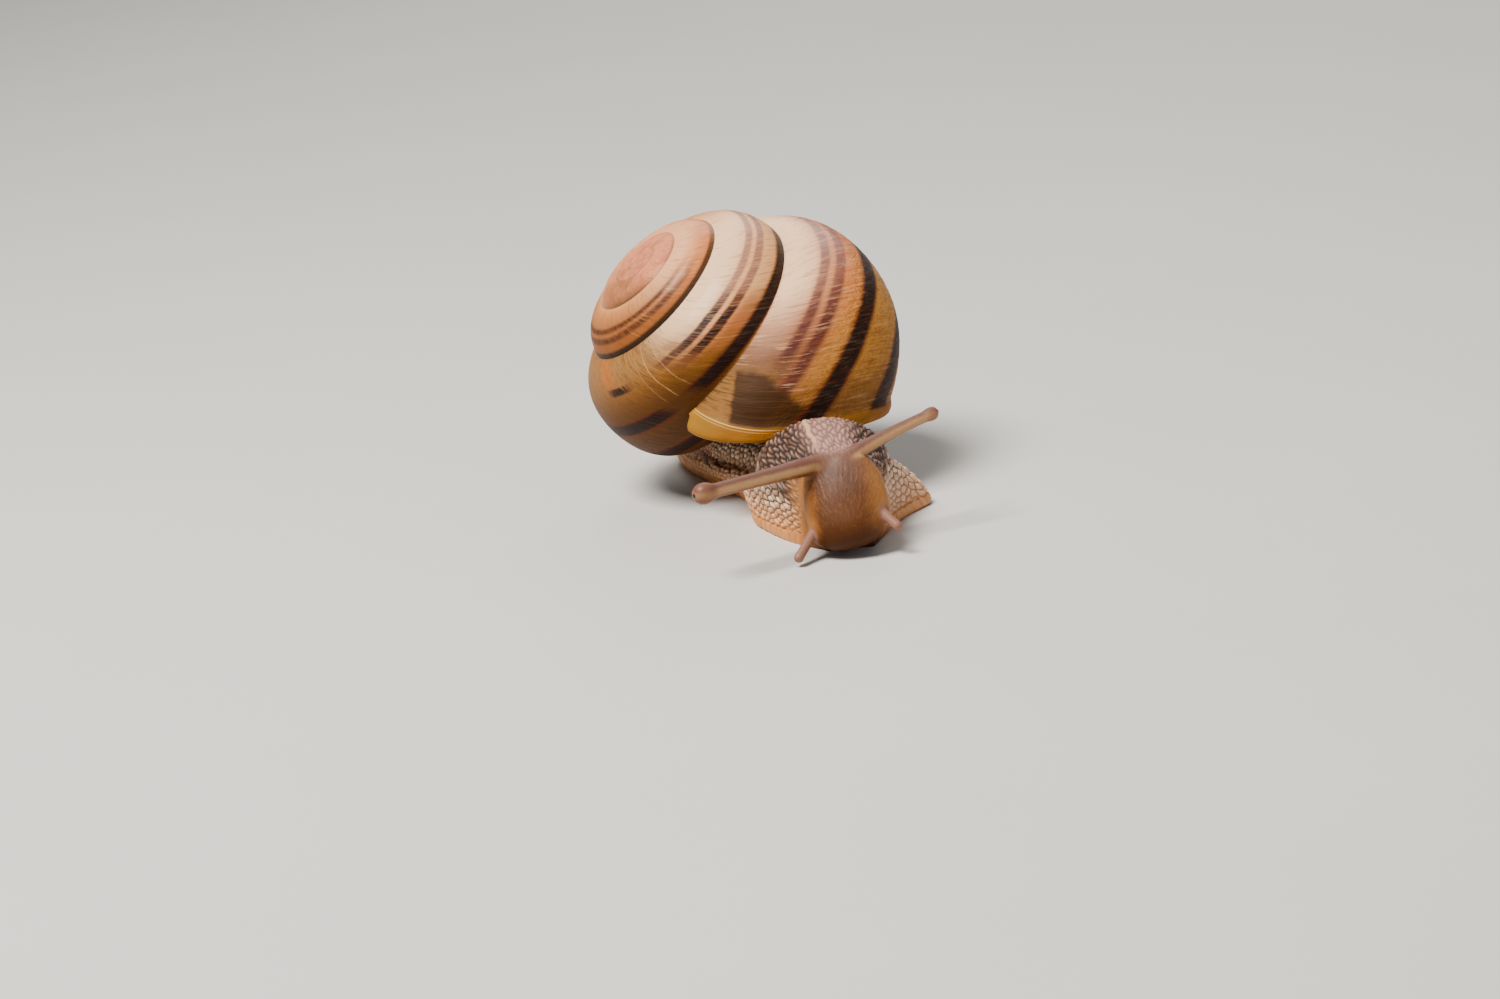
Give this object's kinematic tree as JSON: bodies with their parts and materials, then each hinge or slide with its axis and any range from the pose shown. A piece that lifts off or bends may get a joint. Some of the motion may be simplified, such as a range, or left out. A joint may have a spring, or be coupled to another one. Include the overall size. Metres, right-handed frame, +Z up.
{
  "type": "striped land snail",
  "caption": "Life-size still model of a Vienna banded snail: coiled shell with dark stripes, on a long flat foot, head and feelers out",
  "frame": {"origin": "middle of the snail's footprint, on the floor under its sole", "axes": "+Z up, the head looks along -Y, the shell's spire leans to the snail's right, -X"},
  "size_m": [0.022, 0.0416, 0.0181],
  "materials": {
    "shell": "glossy banded lime shell with fine growth ribs",
    "mantle": "moist flesh",
    "sole": "moist smooth flesh",
    "skin": "moist pebbled skin",
    "head": "moist smooth skin",
    "feeler": "moist smooth skin",
    "eye": "wet and dark"
  },
  "bodies": {
    "root": {"shell": "shell", "mantle_collar": "mantle", "foot_sole": "sole", "tail": "skin", "trunk": "skin", "neck": "skin", "head": "head", "snout": "head", "tentacle_upper_right": "feeler", "tentacle_upper_left": "feeler", "tentacle_lower_right": "feeler", "tentacle_lower_left": "feeler", "eye_right": "eye", "eye_left": "eye"}
  },
  "joints": []
}
